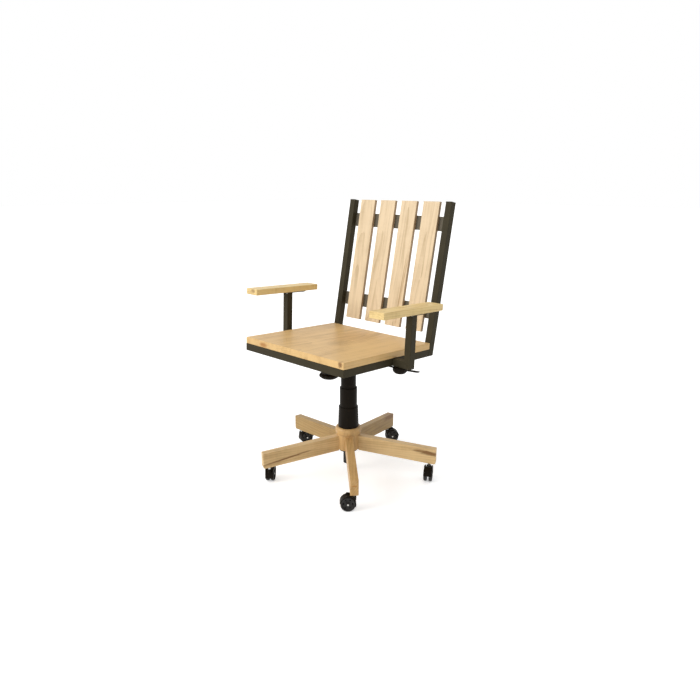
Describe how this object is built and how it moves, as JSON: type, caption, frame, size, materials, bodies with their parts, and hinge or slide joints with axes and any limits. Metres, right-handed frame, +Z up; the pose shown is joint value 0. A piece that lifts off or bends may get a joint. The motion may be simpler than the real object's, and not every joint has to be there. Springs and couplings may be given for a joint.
{
  "type": "swivel chair",
  "caption": "Swivel chair with a slatted wooden back, plank seat and wooden arm pads on a square-tube steel frame, over a gas lift and a wooden star base on casters.",
  "frame": {"origin": "on the floor, in the middle of the chair's bounding box", "axes": "+Z up, the chair faces -Y, and +X is the sitter's left"},
  "size_m": [0.6644, 0.6572, 0.9979],
  "materials": {
    "maple": "satin clear lacquer over maple",
    "bronze_steel": "fine-textured dark bronze powder coat",
    "black_steel": "black powder coat",
    "black_plastic": "fine-grained moulding",
    "wheel_nylon": "worn nylon",
    "bush_plastic": "plain acetal",
    "zinc_steel": "zinc plated",
    "ground_steel": "ground and polished"
  },
  "bodies": {
    "base": {"base_hub": "maple", "base_leg_1": "maple", "base_leg_2": "maple", "base_leg_3": "maple", "base_leg_4": "maple", "base_leg_5": "maple", "leg_bolts": "zinc_steel", "caster_sockets": "zinc_steel", "hub_sleeve": "black_steel", "column_tube": "black_steel", "column_bush": "bush_plastic", "thrust_bearing": "zinc_steel", "cover_lower": "black_plastic"},
    "spindle": {"piston_rod": "ground_steel"},
    "middle_cover": {"cover_middle": "black_plastic"},
    "lift": {"pressure_tube": "ground_steel", "cover_upper": "black_plastic", "tilt_housing": "black_steel", "tilt_pivot": "zinc_steel", "tilt_spring": "black_steel"},
    "lever": {"height_lever": "black_steel"},
    "valve_pin": {"release_pin": "ground_steel"},
    "seat": {"seat_plate": "black_steel", "plate_bolts": "zinc_steel", "seat_frame": "bronze_steel", "seat_panel": "maple", "back_post_left": "bronze_steel", "back_post_right": "bronze_steel", "back_bar_upper": "bronze_steel", "back_bar_lower": "bronze_steel", "back_slat_1": "maple", "back_slat_2": "maple", "back_slat_3": "maple", "back_slat_4": "maple", "wood_screws": "zinc_steel", "tension_bolt": "zinc_steel"},
    "tension_knob": {"tension_knob": "black_plastic"},
    "arm_left": {"arm_frame_left": "bronze_steel", "arm_pad_left": "maple", "arm_screws_left": "zinc_steel"},
    "arm_right": {"arm_frame_right": "bronze_steel", "arm_pad_right": "maple", "arm_screws_right": "zinc_steel"},
    "arm_knob_left": {"arm_knob_left": "black_plastic"},
    "arm_knob_right": {"arm_knob_right": "black_plastic"},
    "caster_1": {"caster_stem_axle_1": "zinc_steel", "caster_hood_1": "black_plastic"},
    "wheels_1": {"caster_wheels_1": "wheel_nylon"},
    "caster_2": {"caster_stem_axle_2": "zinc_steel", "caster_hood_2": "black_plastic"},
    "wheels_2": {"caster_wheels_2": "wheel_nylon"},
    "caster_3": {"caster_stem_axle_3": "zinc_steel", "caster_hood_3": "black_plastic"},
    "wheels_3": {"caster_wheels_3": "wheel_nylon"},
    "caster_4": {"caster_stem_axle_4": "zinc_steel", "caster_hood_4": "black_plastic"},
    "wheels_4": {"caster_wheels_4": "wheel_nylon"},
    "caster_5": {"caster_stem_axle_5": "zinc_steel", "caster_hood_5": "black_plastic"},
    "wheels_5": {"caster_wheels_5": "wheel_nylon"}
  },
  "joints": [
    {"name": "seat_swivel", "type": "hinge", "parent": "base", "child": "spindle", "pos_m": [0.0004, -0.0208, 0], "axis": [0, 0, 1], "continuous": true},
    {"name": "seat_lift", "type": "slide", "parent": "spindle", "child": "lift", "axis": [0, 0, 1], "range_m": [-0.1, 0.01]},
    {"name": "cover_follow", "type": "slide", "parent": "spindle", "child": "middle_cover", "axis": [0, 0, 1], "range_m": [-0.05, 0.005]},
    {"name": "seat_tilt", "type": "hinge", "parent": "lift", "child": "seat", "pos_m": [0.0004, 0.00326, 0.44693], "axis": [-1, 0, 0], "range_deg": [0, 10], "stiffness_Nm_per_rad": 300, "springref_deg": -8.59, "deforming": ["tilt_spring"]},
    {"name": "tension_turn", "type": "hinge", "parent": "seat", "child": "tension_knob", "pos_m": [0.0004, -0.12159, 0.40734], "axis": [0, 0.0436, 0.999], "range_deg": [0, 720]},
    {"name": "lever_rock", "type": "hinge", "parent": "lift", "child": "lever", "pos_m": [0.02838, -0.01982, 0.44834], "axis": [0.0349, -0.9984, 0.0436], "range_deg": [0, 4], "stiffness_Nm_per_rad": 20, "springref_deg": -1.72},
    {"name": "valve_press", "type": "slide", "parent": "lift", "child": "valve_pin", "axis": [0, 0, -1], "range_m": [0, 0.00196]},
    {"name": "arm_left_slide", "type": "slide", "parent": "seat", "child": "arm_left", "axis": [1, 0, 0], "range_m": [0, 0.015]},
    {"name": "arm_left_clamp", "type": "hinge", "parent": "arm_left", "child": "arm_knob_left", "pos_m": [0.2657, -0.05157, 0.47034], "axis": [0, 0.0436, 0.999], "range_deg": [0, 360]},
    {"name": "arm_right_slide", "type": "slide", "parent": "seat", "child": "arm_right", "axis": [-1, 0, 0], "range_m": [0, 0.015]},
    {"name": "arm_right_clamp", "type": "hinge", "parent": "arm_right", "child": "arm_knob_right", "pos_m": [-0.2649, -0.05157, 0.47034], "axis": [0, 0.0436, 0.999], "range_deg": [0, 360]},
    {"name": "caster_1_swivel", "type": "hinge", "parent": "base", "child": "caster_1", "pos_m": [0.22602, -0.2312, 0.0635], "axis": [0, 0, 1], "continuous": true},
    {"name": "wheels_1_roll", "type": "hinge", "parent": "caster_1", "child": "wheels_1", "pos_m": [0.21188, -0.24534, 0.0255], "axis": [0.7071, -0.7071, 0], "continuous": true},
    {"name": "caster_2_swivel", "type": "hinge", "parent": "base", "child": "caster_2", "pos_m": [0.27022, 0.12876, 0.0635], "axis": [0, 0, 1], "continuous": true},
    {"name": "wheels_2_roll", "type": "hinge", "parent": "caster_2", "child": "wheels_2", "pos_m": [0.28022, 0.11144, 0.0255], "axis": [0.866, 0.5, 0], "continuous": true},
    {"name": "caster_3_swivel", "type": "hinge", "parent": "base", "child": "caster_3", "pos_m": [-0.05847, 0.28203, 0.0635], "axis": [0, 0, 1], "continuous": true},
    {"name": "wheels_3_roll", "type": "hinge", "parent": "caster_3", "child": "wheels_3", "pos_m": [-0.04561, 0.29735, 0.0255], "axis": [-0.766, 0.6428, 0], "continuous": true},
    {"name": "caster_4_swivel", "type": "hinge", "parent": "base", "child": "caster_4", "pos_m": [-0.3058, 0.0168, 0.0635], "axis": [0, 0, 1], "continuous": true},
    {"name": "wheels_4_roll", "type": "hinge", "parent": "caster_4", "child": "wheels_4", "pos_m": [-0.29896, 0.03559, 0.0255], "axis": [-0.9397, 0.342, 0], "continuous": true},
    {"name": "caster_5_swivel", "type": "hinge", "parent": "base", "child": "caster_5", "pos_m": [-0.12998, -0.3004, 0.0635], "axis": [0, 0, 1], "continuous": true},
    {"name": "wheels_5_roll", "type": "hinge", "parent": "caster_5", "child": "wheels_5", "pos_m": [-0.14283, -0.28508, 0.0255], "axis": [-0.766, -0.6428, 0], "continuous": true}
  ],
  "couplings": [
    {"joint": "cover_follow", "follows": "seat_lift", "ratio": 0.5},
    {"joint": "valve_press", "follows": "lever_rock", "m_per_rad": 0.028}
  ]
}
